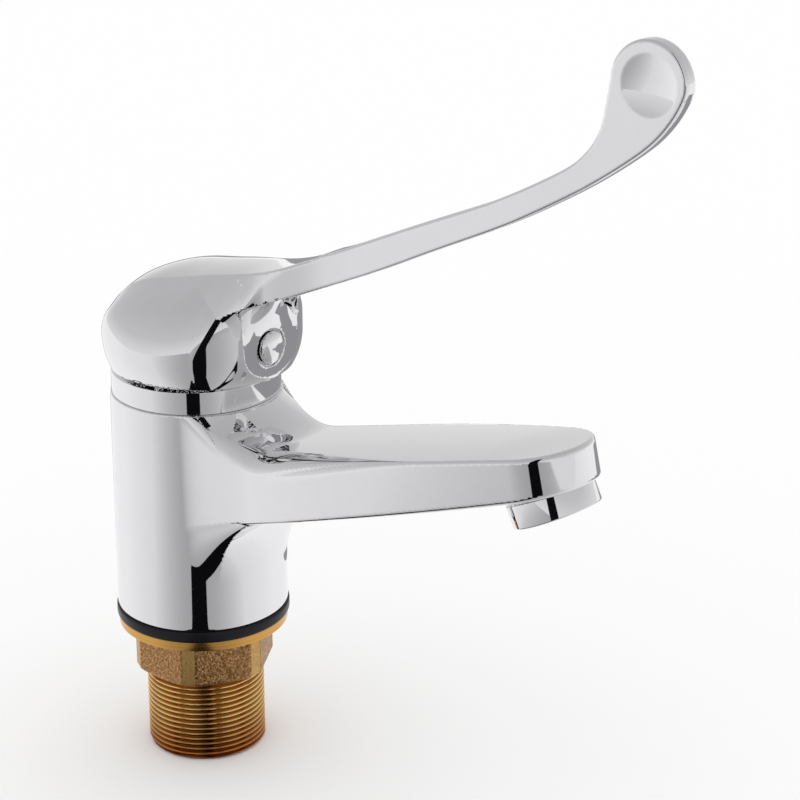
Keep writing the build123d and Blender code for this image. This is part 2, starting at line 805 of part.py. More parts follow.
# Outlet ring: spigot in the casting's socket, skirt below it, and a lip that holds the insert
with BuildPart() as aerator_housing:
    with BuildSketch(outlet_plane.offset(washer_thickness - outlet_socket_depth)):
        Circle(aerator_spigot_radius)
    extrude(amount=outlet_socket_depth - washer_thickness)
    with BuildSketch(outlet_plane):
        Circle(aerator_radius)
    extrude(amount=aerator_drop)
    outlet_axis = Axis(outlet_plane.origin, outlet_plane.z_dir)
    fillet(aerator_housing.faces().sort_by(outlet_axis)[-1].edges(), aerator_edge)
    with BuildSketch(outlet_plane.offset(-outlet_socket_depth)):
        Circle(aerator_bore_radius)
    extrude(amount=outlet_socket_depth + aerator_drop - aerator_lip, mode=Mode.SUBTRACT)
    with BuildSketch(outlet_plane):
        Circle(aerator_lip_radius)
    extrude(amount=aerator_drop + overrun, mode=Mode.SUBTRACT)
aerator_housing.part.label = "aerator_housing"
export_step(aerator_housing.part, "parts/aerator_housing.step")

# Flow straightener: a plug with rings of small holes
with BuildPart() as aerator_insert:
    with BuildSketch(outlet_plane.offset(aerator_drop - aerator_lip - insert_depth)):
        Circle(aerator_bore_radius - insert_slide)
        Circle(insert_hole_radius, mode=Mode.SUBTRACT)
        for ring in (1, 2):
            with PolarLocations(ring * insert_ring_pitch, 6 * ring):
                Circle(insert_hole_radius, mode=Mode.SUBTRACT)
    extrude(amount=insert_depth)
aerator_insert.part.label = "aerator_insert"
export_step(aerator_insert.part, "parts/aerator_insert.step")

# Washer between the outlet ring and the ceiling of its socket
with BuildPart() as aerator_washer:
    with BuildSketch(outlet_plane.offset(-outlet_socket_depth)):
        Circle(washer_radius)
        Circle(washer_bore_radius, mode=Mode.SUBTRACT)
    extrude(amount=washer_thickness)
aerator_washer.part.label = "aerator_washer"
export_step(aerator_washer.part, "parts/aerator_washer.step")

# Base gasket between the barrel and the deck
with BuildPart() as base_gasket:
    with BuildSketch(Plane.XY):
        Circle(gasket_radius)
        Circle(shank_radius + fixing_clearance, mode=Mode.SUBTRACT)
    extrude(amount=gasket_thickness)
base_gasket.part.label = "base_gasket"
export_step(base_gasket.part, "parts/base_gasket.step")

# Threaded shank, fixed in the casting, with a chamfered foot
with BuildPart() as shank:
    with BuildSketch(Plane.XY.offset(shank_foot)):
        Circle(shank_radius)
    extrude(amount=shank_top - shank_foot)
    chamfer(shank.faces().sort_by(Axis.Z)[0].edges(), shank_edge)
    with BuildSketch(Plane.XY.offset(shank_foot - overrun)):
        Circle(shank_bore_radius)
    extrude(amount=shank_top - shank_foot + 2 * overrun, mode=Mode.SUBTRACT)
shank.part.label = "shank"
export_step(shank.part, "parts/shank.step")

# Clamp washer that bears on the deck from below
with BuildPart() as clamp_washer:
    with BuildSketch(Plane.XY.offset(-clamp_washer_thickness)):
        Circle(clamp_washer_radius)
        Circle(shank_radius + fixing_clearance, mode=Mode.SUBTRACT)
    extrude(amount=clamp_washer_thickness)
clamp_washer.part.label = "clamp_washer"
export_step(clamp_washer.part, "parts/clamp_washer.step")

# Back nut: hexagon with cut corners and a softened foot
with BuildPart() as back_nut:
    with BuildSketch(Plane.XY.offset(-clamp_washer_thickness - nut_height)):
        RegularPolygon(nut_half_flats, 6, major_radius=False)
        RegularPolygon(nut_corner_radius, 6, major_radius=False, rotation=30, mode=Mode.INTERSECT)
    extrude(amount=nut_height)
    chamfer(back_nut.faces().sort_by(Axis.Z)[0].edges(), nut_edge)
    with BuildSketch(Plane.XY.offset(-clamp_washer_thickness - nut_height - overrun)):
        Circle(shank_radius + fixing_clearance)
    extrude(amount=nut_height + 2 * overrun, mode=Mode.SUBTRACT)
back_nut.part.label = "back_nut"
export_step(back_nut.part, "parts/back_nut.step")
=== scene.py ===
# %% [markdown]
# # An elbow lever tap
#
# This lesson dresses the measured model of a single-hole mixer tap with a long elbow lever. The model
# comes in as a fixed frame, in metres, and every piece made here sits where the frame says. The outside
# is almost all polished chrome, so the work goes into clean curvature, and into a studio that puts the
# right things into its reflections.

import math

import bpy
import numpy as np
import openvdb
from mathutils import Matrix, Vector


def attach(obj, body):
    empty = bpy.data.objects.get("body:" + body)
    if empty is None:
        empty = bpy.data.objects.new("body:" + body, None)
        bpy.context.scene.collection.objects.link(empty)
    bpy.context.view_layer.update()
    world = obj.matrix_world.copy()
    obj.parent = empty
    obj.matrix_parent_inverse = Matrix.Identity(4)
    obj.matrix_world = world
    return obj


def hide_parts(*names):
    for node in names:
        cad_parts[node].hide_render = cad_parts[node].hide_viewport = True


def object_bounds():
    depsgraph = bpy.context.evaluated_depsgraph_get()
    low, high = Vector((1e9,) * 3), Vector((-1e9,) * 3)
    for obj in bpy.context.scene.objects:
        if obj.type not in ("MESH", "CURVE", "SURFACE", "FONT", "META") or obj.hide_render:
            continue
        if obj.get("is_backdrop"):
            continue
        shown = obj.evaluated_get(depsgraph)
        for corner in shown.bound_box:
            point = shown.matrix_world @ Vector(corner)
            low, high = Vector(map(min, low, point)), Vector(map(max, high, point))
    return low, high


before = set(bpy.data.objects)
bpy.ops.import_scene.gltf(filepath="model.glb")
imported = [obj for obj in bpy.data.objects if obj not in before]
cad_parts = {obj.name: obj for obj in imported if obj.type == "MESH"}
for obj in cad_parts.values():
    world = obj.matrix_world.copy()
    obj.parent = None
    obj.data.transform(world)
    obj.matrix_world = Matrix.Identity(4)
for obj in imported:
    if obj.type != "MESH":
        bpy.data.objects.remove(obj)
cad_low, cad_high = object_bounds()
mm = 0.001
print("pieces in the frame:", len(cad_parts))

# %% [markdown]
# ## The camera
#
# The photograph was taken from the front right of the tap and a little above it. The camera could be
# placed by eye, but the straight edges of the tap fix it: the distance comes from how the barrel and the
# nut shrink with depth, and the two angles from how their round edges open into ellipses. Two shifts
# then bring the tap to its place in the picture.

# %% Place the camera


def placed(name, data):
    """An object in the scene, made of a camera or a mesh."""
    thing = bpy.data.objects.new(name, data)
    bpy.context.scene.collection.objects.link(thing)
    return thing


camera_azimuth = math.radians(39.0)
camera_elevation = math.radians(20.5)
camera_distance = 640.34 * mm
lens_length, picture_width = 105.57, 36.0
shift_right, shift_up = 53.53, 56.156
camera_right = Vector((math.cos(camera_azimuth), math.sin(camera_azimuth), 0))
camera_back = Vector(
    (
        math.sin(camera_azimuth) * math.cos(camera_elevation),
        -math.cos(camera_azimuth) * math.cos(camera_elevation),
        math.sin(camera_elevation),
    )
)
camera_up = camera_back.cross(camera_right)
camera_data = bpy.data.cameras.new("view")
camera_data.lens = lens_length
camera_data.sensor_width = picture_width
camera = placed("view", camera_data)
camera.location = camera_right * shift_right * mm + camera_up * shift_up * mm + camera_back * camera_distance
camera.rotation_euler = Matrix((camera_right, camera_up, camera_back)).transposed().to_euler()
bpy.context.scene.camera = camera
bpy.context.scene.view_settings.view_transform = "Standard"
print("camera stands at", [round(value, 3) for value in camera.location])

# %% [markdown]
# ## Castings as distance fields
#
# The barrel with its spout, and the lever, are castings that were ground and polished until every wall
# flows into the next. Subdivision cages or bevels could make them, but a mirror finish shows each pinch.
# Here each casting is written as a field instead: for any point it gives the distance to the surface and
# the way out. Two fields are joined with a hollow fillet, or cut against each other with a round edge,
# and the radius holds at any angle between the walls. All lengths in the fields are millimetres.

# %% Field helpers
probe = 0.05


def unit(vectors):
    """Vectors of length one, for an array with x, y and z as its rows."""
    return vectors / np.maximum(np.sqrt((vectors * vectors).sum(0)), 1e-9)


def slope_along(line, place):
    """How steeply a line runs at a place."""
    return (line(place + probe) - line(place - probe)) / (2 * probe)


def side_of(y):
    """Minus one on the near side of the tap, and one on the far side."""
    return np.where(y < 0, -1.0, 1.0)


def flat(points, way_out, through):
    """Everything behind a flat face."""
    way = np.array(way_out, float)
    way = way / np.linalg.norm(way)
    gap = way @ points - way @ np.array(through, float)
    return gap, np.broadcast_to(way[:, None], points.shape)


def above(points, height):
    """Everything above a level."""
    return flat(points, (0, 0, -1), (0, 0, height))


def below(points, height):
    """Everything below a level."""
    return flat(points, (0, 0, 1), (0, 0, height))


def ahead(points, place):
    """Everything further forward than a place; the spout points forward."""
    return flat(points, (-1, 0, 0), (place, 0, 0))


def behind(points, place):
    """Everything further back than a place."""
    return flat(points, (1, 0, 0), (place, 0, 0))


def post(points, radius, foot, along=(0, 0, 1)):
    """Everything inside an endless round post; its radius may change from point to point."""
    way = np.array(along, float)
    way = way / np.linalg.norm(way)
    offset = points - np.array(foot, float)[:, None]
    offset = offset - way[:, None] * (way @ offset)
    reach = np.sqrt((offset * offset).sum(0))
    return reach - radius, offset / np.maximum(reach, 1e-9)


def ball(points, radius, centre):
    """Everything inside a ball."""
    offset = points - np.array(centre, float)[:, None]
    reach = np.sqrt((offset * offset).sum(0))
    return reach - radius, offset / np.maximum(reach, 1e-9)


def under_height(points, height):
    """Everything below a surface given by its height over x and y."""
    x, y, z = points
    slope_x = slope_along(lambda here: height(here, y), x)
    slope_y = slope_along(lambda here: height(x, here), y)
    steepness = np.sqrt(1 + slope_x**2 + slope_y**2)
    return (z - height(x, y)) / steepness, np.stack([-slope_x, -slope_y, np.ones_like(x)]) / steepness


def joined(one, other, radius=0.0, power=2.0):
    """Two solids in one, with a hollow fillet; a power above two lets the fillet start and end softly."""
    reach = radius * (1 - (one[1] * other[1]).sum(0))
    pull_one = np.maximum(reach - one[0], 0)
    pull_other = np.maximum(reach - other[0], 0)
    in_fillet = (pull_one > 0) & (pull_other > 0)
    if power == 2.0:
        both, share_one, share_other = np.hypot(pull_one, pull_other), pull_one, pull_other
    else:
        both = (pull_one**power + pull_other**power) ** (1 / power)
        share_one, share_other = pull_one ** (power - 1), pull_other ** (power - 1)
    gap = np.where(in_fillet, reach - both, np.minimum(one[0], other[0]))
    nearer_way = np.where(one[0] < other[0], one[1], other[1])
    way = np.where(in_fillet, share_one * one[1] + share_other * other[1], nearer_way)
    return gap, unit(way)


def turned_out(one):
    """The space around a solid."""
    return -one[0], -one[1]


def common(one, other, radius=0.0, power=2.0):
    """What two solids share, with an edge rounded to that radius."""
    return turned_out(joined(turned_out(one), turned_out(other), radius, power))


def cut_from(one, other, radius=0.0):
    """One solid without the other, with an edge rounded to that radius."""
    return common(one, turned_out(other), radius)


def eased(value, start, end):
    """A smooth step from 0 at start to 1 at end."""
    share = np.clip((value - start) / (end - start), 0, 1)
    return share * share * (3 - 2 * share)


def stepped(value, base, steps):
    """A number that begins at base and takes smooth steps, each given by its size, start and end."""
    total = base
    for size, start, end in steps:
        total = total + size * eased(value, start, end)
    return total


# %% [markdown]
# A few of the measured lines are neither straight nor round, such as the ridge of the lever head. A
# smooth curve through their measured points keeps the reflections free of kinks, so a small natural
# spline is made from the usual equations for its bends.

# %% Smooth curve through measured points


def smooth_curve(places, values):
    """A function that runs smoothly through the given values, and straight on beyond both ends."""
    places, values = np.array(places, float), np.array(values, float)
    gaps = np.diff(places)
    slopes = np.diff(values) / gaps
    count = len(places)
    equations, right_side = np.eye(count), np.zeros(count)
    for row in range(1, count - 1):
        equations[row, row - 1 : row + 2] = gaps[row - 1], 2 * (gaps[row - 1] + gaps[row]), gaps[row]
        right_side[row] = 6 * (slopes[row] - slopes[row - 1])
    bends = np.linalg.solve(equations, right_side)
    first_slope = slopes[0] - gaps[0] * (2 * bends[0] + bends[1]) / 6
    last_slope = slopes[-1] + gaps[-1] * (bends[-2] + 2 * bends[-1]) / 6

    def curve(at):
        held = np.clip(at, places[0], places[-1])
        part = np.clip(np.searchsorted(places, held) - 1, 0, count - 2)
        before, after = held - places[part], places[part + 1] - held
        gap = gaps[part]
        value = (
            (bends[part] * after**3 + bends[part + 1] * before**3) / (6 * gap)
            + (values[part] / gap - bends[part] * gap / 6) * after
            + (values[part + 1] / gap - bends[part + 1] * gap / 6) * before
        )
        return value + np.where(at < places[0], first_slope, last_slope) * (at - held)

    return curve


# %% [markdown]
# ## Barrel and spout
#
# The real casting is one piece: an upright barrel, and a low spout that flares out of it in one sweep.
# The spout's top is a flat that rises round the barrel like a collar, with a crease that is crisp at the
# tip and melts away towards the barrel. The field is built in the order of the grinding: the spout's
# plan and underside, the fillet into the barrel, then the sweep of the top.

# %% Measures of the casting
barrel_foot, barrel_height, barrel_top = 3.1, 60.9, 64.0
barrel_radius, barrel_draw = 23.1, 0.4
foot_edge = 0.8
tip_centre_x = 111.1
tip_radius = 14.2
tip_turn = math.radians(83.0)
root_half_width = 13.4
top_slope = math.radians(13.1)
plan_height = 69.0
tip_way = np.array([math.cos(tip_turn), math.sin(tip_turn)])
tip_side = np.array([tip_centre_x, 0]) + tip_radius * tip_way
root_gap = tip_side - np.array([0, root_half_width])
flank_radius = float(root_gap @ root_gap / (2 * tip_way @ root_gap))
flank_centre = tip_side - flank_radius * tip_way
top_at_axis = 49.25
top_crown, crown_half_width, crown_fade = 0.7, 16.5, (100, 124)
under_slope = math.radians(18.2)
under_at_axis, under_edge = 27.47, 1.2
root_fillet = 22.0
collar_radius, collar_sweep = 23.9, 16.7
crease_edge, crease_melt, melt_run = 0.9, 5.6, (38, 88)
rim_end, rim_edge = 42, 0.4
outlet_lean = math.radians(26.0)
outlet_centre = (114.1, 0, 64.19)
outlet_way = (math.sin(outlet_lean), 0, -math.cos(outlet_lean))
outlet_radius, outlet_bore, outlet_depth = 11.1, 9.56, 7
outlet_fillet, outlet_edge = 1.0, 0.3
chamber_radius, chamber_floor = 17.6, 38.0
nut_seat_radius, nut_seat_floor = 19.5, 58.5
shank_bore, shank_top = 16.08, 18.0
print("spout's flank is part of a circle of radius", round(flank_radius, 1), "mm")

# %% Field of the casting


def spout_plan(points):
    """Everything inside the spout's outline, whose walls stand square to the sloping top."""
    x, y, z = points
    x = x + (z - plan_height) * math.tan(top_slope)
    past_tip = (x - tip_centre_x) * tip_way[1] - abs(y) * tip_way[0] > 0
    centre_x = np.where(past_tip, tip_centre_x, flank_centre[0])
    centre_y = np.where(past_tip, 0.0, flank_centre[1])
    radius = np.where(past_tip, tip_radius, flank_radius)
    reach = np.hypot(x - centre_x, abs(y) - centre_y)
    return reach - radius, np.stack([(x - centre_x) / reach, side_of(y) * (abs(y) - centre_y) / reach, 0 * x])


def spout_top_height(x, y):
    """Height of the spout's top face, which is crowned a little from side to side."""
    across = np.clip(1 - (y / crown_half_width) ** 2, 0, 1)
    crown = top_crown * across * (1 - eased(x, *crown_fade))
    return top_at_axis + x * math.tan(top_slope) + crown


def casting(points):
    """The barrel with its spout."""
    x, _, z = points
    barrel = post(points, barrel_radius - (z - barrel_foot) * barrel_draw / barrel_height, (0, 0, 0))
    underside = flat(points, (math.sin(under_slope), 0, -math.cos(under_slope)), (0, 0, under_at_axis))
    spout = common(common(spout_plan(points), underside, under_edge), ahead(points, 0))
    body = joined(barrel, spout, root_fillet)
    collar_axis = (-math.sin(top_slope), 0, math.cos(top_slope))
    collar = post(points, collar_radius, (0, 0, top_at_axis), collar_axis)
    sweep = joined(under_height(points, spout_top_height), collar, collar_sweep)
    body = common(body, sweep, crease_edge + crease_melt * (1 - eased(x, *melt_run)))
    body = cut_from(body, common(above(points, barrel_top), behind(points, rim_end)), rim_edge)
    body = common(body, above(points, barrel_foot), foot_edge)
    outlet_back = tuple(-np.array(outlet_way))
    boss_top = tuple(np.array(outlet_centre) - outlet_depth * np.array(outlet_way))
    outlet_post = post(points, outlet_radius, outlet_centre, outlet_way)
    boss = common(outlet_post, flat(points, outlet_way, outlet_centre))
    body = joined(body, common(boss, flat(points, outlet_back, boss_top)), outlet_fillet)
    body = cut_from(body, common(outlet_post, flat(points, outlet_back, outlet_centre)), outlet_edge)
    socket = post(points, outlet_bore, outlet_centre, outlet_way)
    body = cut_from(body, common(socket, flat(points, outlet_back, boss_top)))
    for radius, end in (
        (chamber_radius, above(points, chamber_floor)),
        (nut_seat_radius, above(points, nut_seat_floor)),
        (shank_bore, below(points, shank_top)),
    ):
        body = cut_from(body, common(post(points, radius, (0, 0, 0)), end))
    return body


# %% [markdown]
# ## Lever
#
# The lever is one casting too: a round head that covers the cartridge, a roof with two long creases, and
# an arm that leaves the roof, narrows to an upright blade and curls up into a round dished pad. The
# outline of the arm is a smooth closed line in the plane of symmetry. Its distance is worked out once on
# a fine table and read back with a smooth filter, which is much faster than asking the line each time.

# %% Outline of the arm
arm_foot_line = [
    (12, 86.0), (20, 89.4), (27, 92.5), (36, 96.4), (46, 100.7), (55, 104.6), (65, 109.1), (84, 118.3),
    (103, 127.5), (115.5, 134.5), (126, 141), (134.3, 146.9), (141, 152.6), (145, 157.6), (147.4, 162),
]
pad_x, pad_z, pad_radius = 138.3, 164.7, 9.8
pad_line = [
    (pad_x + pad_radius * math.cos(math.radians(turn)), pad_z + pad_radius * math.sin(math.radians(turn)))
    for turn in range(0, 181, 20)
]
arm_top_line = [
    (127.8, 160.3), (127.0, 155.7), (125.4, 151.3), (123.2, 148.0), (120.2, 144.9), (115.6, 141.7),
    (108.5, 137.6), (99.4, 132.8), (83.4, 125.6), (67.3, 118.5), (58, 114.3), (51.3, 111.4), (45, 109.2),
    (36, 107.4), (26, 106.6), (12, 106.4),
]
outline_points = np.array(arm_foot_line + pad_line + arm_top_line, float)
outline_places = np.concatenate([[0], np.cumsum(np.hypot(*np.diff(outline_points, axis=0).T))])
outline_x = smooth_curve(outline_places, outline_points[:, 0])
outline_z = smooth_curve(outline_places, outline_points[:, 1])
fine_places = np.arange(0, outline_places[-1], 0.25)
outline = np.stack([outline_x(fine_places), outline_z(fine_places)])
table_low, table_step, table_counts = (4.0, 82.0), 0.5, (304, 204)
print("the arm's outline is", round(float(outline_places[-1])), "mm long")

# %% Distance table of the outline


def outline_distances():
    """Distance to the arm's outline on a flat table of points, negative inside."""
    starts, ends = outline, np.roll(outline, -1, axis=1)
    runs = ends - starts
    lengths = (runs * runs).sum(0)
    table = np.zeros(table_counts)
    rows_z = table_low[1] + table_step * np.arange(table_counts[1])
    for column in range(table_counts[0]):
        here_x = table_low[0] + table_step * column
        offset_x = here_x - starts[0][None, :]
        offset_z = rows_z[:, None] - starts[1][None, :]
        share = np.clip((offset_x * runs[0] + offset_z * runs[1]) / lengths, 0, 1)
        away_x, away_z = offset_x - share * runs[0], offset_z - share * runs[1]
        squares = away_x**2 + away_z**2
        nearest = squares.argmin(1)
        picked = np.arange(len(rows_z)), nearest
        crosses = (starts[1] > rows_z[:, None]) != (ends[1] > rows_z[:, None])
        hit_x = starts[0] + runs[0] * (rows_z[:, None] - starts[1]) / np.where(runs[1] == 0, 1e-9, runs[1])
        inside = (crosses & (here_x < hit_x)).sum(1) % 2 == 1
        table[column] = np.where(inside, -1, 1) * np.sqrt(squares[picked])
    return table


arm_table = outline_distances()


def read_table(x, z):
    """The table between its points, by smooth cubic weights."""
    at_x = np.clip((x - table_low[0]) / table_step, 1, table_counts[0] - 3.001)
    at_z = np.clip((z - table_low[1]) / table_step, 1, table_counts[1] - 3.001)
    column, row = at_x.astype(int), at_z.astype(int)
    part_x, part_z = at_x - column, at_z - row

    def weights(part):
        return (
            (-part + 2 * part**2 - part**3) / 2,
            (2 - 5 * part**2 + 3 * part**3) / 2,
            (part + 4 * part**2 - 3 * part**3) / 2,
            (-(part**2) + part**3) / 2,
        )

    total = 0
    for near_x, weight_x in enumerate(weights(part_x)):
        for near_z, weight_z in enumerate(weights(part_z)):
            total = total + weight_x * weight_z * arm_table[column + near_x - 1, row + near_z - 1]
    return total


print("the table's deepest point lies", round(-float(arm_table.min()), 1), "mm inside the outline")

# %% Lines and measures of the lever
roof_back = -23.4
crease_x = [-23.5, -18.4, -13.3, -9.8, -6.3, -0.5, 6.5, 12.5, 19.5, 26.5, 35, 45, 55]
crease_half_width = smooth_curve(
    crease_x, [14.7, 14.9, 15.0, 14.4, 13.5, 12.4, 11.3, 10.5, 9.75, 9.1, 7.9, 5.5, 4.2]
)
crease_height = smooth_curve(
    crease_x, [70.5, 82.0, 89.4, 92.9, 95.0, 96.7, 98.1, 99.4, 100.7, 102.0, 104.4, 108.5, 112.9]
)
ridge_height = smooth_curve(
    [-23.4, -20, -16, -12, -8, -4, 0, 6, 12.5, 20, 26.7, 35, 45, 55],
    [80.5, 87.2, 91.6, 94.4, 96.3, 97.6, 98.5, 99.5, 100.5, 101.6, 102.7, 104.9, 108.7, 113.0],
)
arm_half_width = smooth_curve(
    [20, 27, 31, 36, 45, 60, 80, 105, 128, 150], [10.4, 10.1, 9.3, 7.9, 5.4, 3.7, 3.0, 2.7, 2.15, 2.1]
)
least_half_width = 4.0
crown_lifts = [(8, 46, 62), (60, 60, 120)]
lean_at_back, lean_steps = 36, [(9, 0, 26), (41, 18, 40)]
side_clearance = [(-3, 36, 56), (-20, 50, 150)]
head_radius, head_centre_x, head_foot = 26.1, 2.7, 71.7
wall_draw, centre_draw, draw_height, draw_power, draw_slope_power = 2.2, 0.4, 9.5, 2.2, 1.2
wall_foot_edge, head_front, front_edge = 0.4, 26.7, 1.0
arm_edge, arm_fillet = 0.8, 13.0
side_blend, side_blend_steps, side_power = 9.0, [(13.0, -16, 6), (-21.0, 24, 44)], 2.6
cap_edge, cap_melt, cap_run = 0.8, 8.2, (-4, 12)
roof_edge = 0.7
cavity_radius, cavity_top = 21.8, 83.5
cone_foot, cone_draw, cone_height, cone_top_radius = 76.7, 8.3, 6.8, 13.5
hub_radius, hub_foot, hub_top = 9.5, 76.0, 86.0
stem_half_width, stem_top = 4.1, 89.0
button_height = 80.5
front_holes = {
    "grub screw": (2.5, 0, 0.0), "button stalk": (3.2, 13.5, 0.0), "button seat": (5.0, 26.2, 0.3)
}
dish_radius, dish_centre, dish_edge = 20.6, (138.7, 21.4, 164.6), 1.5
print("lever head is", head_radius * 2, "mm across")
print("the arm thins to", round(float(arm_half_width(105.0)) * 2, 1), "mm")

# %% Field of the lever


def crown_height(x, y):
    """Height of the roof between its two creases; beyond the arm's root it lifts clear of the arm."""
    held = np.maximum(x, roof_back)
    crease = crease_height(held)
    half_width = np.maximum(crease_half_width(held), least_half_width)
    rise = (ridge_height(held) - crease) * (1 - (y / half_width) ** 2)
    return stepped(x, crease + rise, crown_lifts)


def side_faces(points):
    """The slanted sides below the creases, which twist upright along the arm's root."""
    x, y, z = points

    def gap_at(here_x):
        held = np.maximum(here_x, roof_back)
        lean = np.radians(stepped(held, lean_at_back, lean_steps))
        beside = stepped(held, abs(y) - crease_half_width(held), side_clearance)
        return beside * np.sin(lean) - (crease_height(held) - z) * np.cos(lean), lean

    gap, lean = gap_at(x)
    along = slope_along(lambda here: gap_at(here)[0], x)
    steepness = np.sqrt(1 + along**2)
    way = np.stack([along, side_of(y) * np.sin(lean), np.cos(lean)])
    return gap / steepness, way / steepness


def head_wall(points):
    """The round wall of the head, which draws in towards the trim ring."""
    x, y, z = points
    share = np.clip(1 - (z - head_foot) / draw_height, 0, 1.2)
    centre_x = head_centre_x - centre_draw * share**draw_power
    reach = np.maximum(np.hypot(x - centre_x, y), 1e-9)
    draw = wall_draw * draw_power / draw_height * share**draw_slope_power
    steepness = np.sqrt(1 + draw**2)
    gap = (reach - head_radius + wall_draw * share**draw_power) / steepness
    wall = gap, np.stack([(x - centre_x) / reach, y / reach, -draw]) / steepness
    return common(wall, above(points, head_foot), wall_foot_edge)


def arm_flank(points):
    """Everything between the two upright faces of the arm."""
    x, y, _ = points
    taper = slope_along(arm_half_width, x)
    steepness = np.sqrt(1 + taper**2)
    return (abs(y) - arm_half_width(x)) / steepness, np.stack([-taper, side_of(y), 0 * x]) / steepness


def arm_outline(points):
    """Everything inside the outline of the arm and its pad as seen from the side."""
    x, _, z = points
    gap = read_table(x, z)
    along_x = read_table(x + 0.1, z) - read_table(x - 0.1, z)
    along_z = read_table(x, z + 0.1) - read_table(x, z - 0.1)
    return gap, unit(np.stack([along_x, 0 * x, along_z]))


def lever(points):
    """The lever with its head, arm and pad."""
    x, y, z = points
    head = common(head_wall(points), behind(points, head_front), front_edge)
    arm = common(arm_outline(points), arm_flank(points), arm_edge)
    lump = joined(head, arm, arm_fillet)
    sided = common(lump, side_faces(points), stepped(x, side_blend, side_blend_steps), side_power)
    cap_blend = cap_edge + cap_melt * (1 - eased(x, *cap_run))
    body = common(sided, common(lump, under_height(points, crown_height), cap_blend), roof_edge)
    cone = cavity_radius - (z - cone_foot) * cone_draw / cone_height
    cavity = post(points, np.clip(cone, cone_top_radius, cavity_radius), (0, 0, 0))
    body = cut_from(body, common(cavity, below(points, cavity_top)))
    hub = common(post(points, hub_radius, (0, 0, 0)), above(points, hub_foot))
    body = joined(body, common(hub, below(points, hub_top)))
    folded = np.stack([abs(x), abs(y), z])
    square = common(behind(folded, stem_half_width), flat(folded, (0, 1, 0), (0, stem_half_width, 0)))
    body = cut_from(body, common(square, below(points, stem_top)))
    for radius, start, edge in front_holes.values():
        hole = common(post(points, radius, (0, 0, button_height), (1, 0, 0)), ahead(points, start))
        body = cut_from(body, hole, edge)
    dish_gap, dish_way = ball(folded, dish_radius, dish_centre)
    unfolded = np.stack([np.ones_like(y), side_of(y), np.ones_like(y)])
    return cut_from(body, (dish_gap, dish_way * unfolded), dish_edge)


# %% [markdown]
# ## From field to mesh
#
# A field becomes a mesh in two moves. A level-set mesher finds the surface on a regular grid, which gives
# even quads but rounds their places to the grid's own accuracy. Then each corner slides along the field's
# slope until it lies on the true surface, and takes its normal from the field, so the mirror finish shows
# the curve itself and not the facets. The corners are held inside the frame's own box, so that a rounding
# never makes a casting larger than it was measured.

# %% Mesh a field
fine_probe, least_slope, slides = 0.02, 0.3, 3


def slope_of(field, points):
    """How the field changes along x, y and z."""
    rows = []
    for axis in np.eye(3):
        shift = fine_probe * axis[:, None]
        rows.append((field(points + shift)[0] - field(points - shift)[0]) / (2 * fine_probe))
    return np.stack(rows)


def new_mesh(name, corners, faces):
    """A mesh of corners and faces, and its object in the scene."""
    mesh = bpy.data.meshes.new(name)
    mesh.from_pydata(corners, [], faces)
    return mesh, placed(name, mesh)


def cast_piece(name, field, low, high, cell):
    """A mesh object of the surface where the field is nought, the same on both sides of y nought."""
    band = 4 * cell
    grid_x = np.arange(low[0], high[0] + cell, cell)
    grid_y = np.arange(0, high[1] + cell, cell)
    grid_z = np.arange(low[2], high[2] + cell, cell)
    half = np.zeros((len(grid_x), len(grid_y), len(grid_z)), np.float32)
    sheet_y, sheet_z = (part.ravel() for part in np.meshgrid(grid_y, grid_z, indexing="ij"))
    for index, here_x in enumerate(grid_x):
        sheet = np.stack([np.full(sheet_y.shape, here_x), sheet_y, sheet_z])
        half[index] = field(sheet)[0].reshape(len(grid_y), len(grid_z))
    whole = np.clip(np.concatenate([half[:, :0:-1, :], half], axis=1), -band, band)
    grid = openvdb.FloatGrid(band)
    grid.copyFromArray(np.ascontiguousarray(whole))
    grid.transform = openvdb.createLinearTransform(cell)
    corners, quads = grid.convertToQuads(isovalue=0.0)
    points = corners.T.astype(float) + np.array([[grid_x[0]], [-grid_y[-1]], [grid_z[0]]])
    for _ in range(slides):
        slope = slope_of(field, points)
        move = field(points)[0] / np.maximum((slope * slope).sum(0), least_slope)
        points = points - slope * np.clip(move, -cell, cell)
    box_low, box_high = (np.array([list(corner)]).T / mm for corner in (cad_low, cad_high))
    points = np.clip(points, box_low, box_high)
    way = unit(slope_of(field, points))
    sides = points[:, quads[:, 2]] - points[:, quads[:, 0]], points[:, quads[:, 3]] - points[:, quads[:, 1]]
    facing = (np.cross(sides[0].T, sides[1].T).T * way[:, quads[:, 0]]).sum()
    if facing < 0:
        quads = quads[:, ::-1]
    mesh, piece = new_mesh(name, (points.T * mm).tolist(), quads.tolist())
    mesh.shade_smooth()
    mesh.normals_split_custom_set_from_vertices(way.T.tolist())
    print(name, "has", len(points), "corners")
    return piece


# %% Cast the two big pieces
casting_cell, lever_cell = ((0.55, 0.45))
casting_low, casting_high = (-24.6, 0, 1.8), (127.2, 25.2, 79.2)
lever_low, lever_high = (-25.0, 0, 70.0), (149.5, 27.5, 176.0)
casting_skin = cast_piece("casting_skin", casting, casting_low, casting_high, casting_cell)
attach(casting_skin, "casting")
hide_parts("body_casting")
lever_skin = cast_piece("lever_skin", lever, lever_low, lever_high, lever_cell)
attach(lever_skin, "lever")
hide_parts("lever")

# %% [markdown]
# ## Turned and threaded pieces
#
# The shank, the back nut and the button come from bars and moulds that are round or nearly so. They
# could be screw modifiers, but a thread that fades into a chamfer, or a hexagon with soft corners, is
# simpler as a stack of rings whose radius depends on the angle. One helper skins such a stack.

# %% Skin a stack of rings


def full_turn(count):
    """Angles of evenly spaced points, once round."""
    return 2 * math.pi * np.arange(count) / count


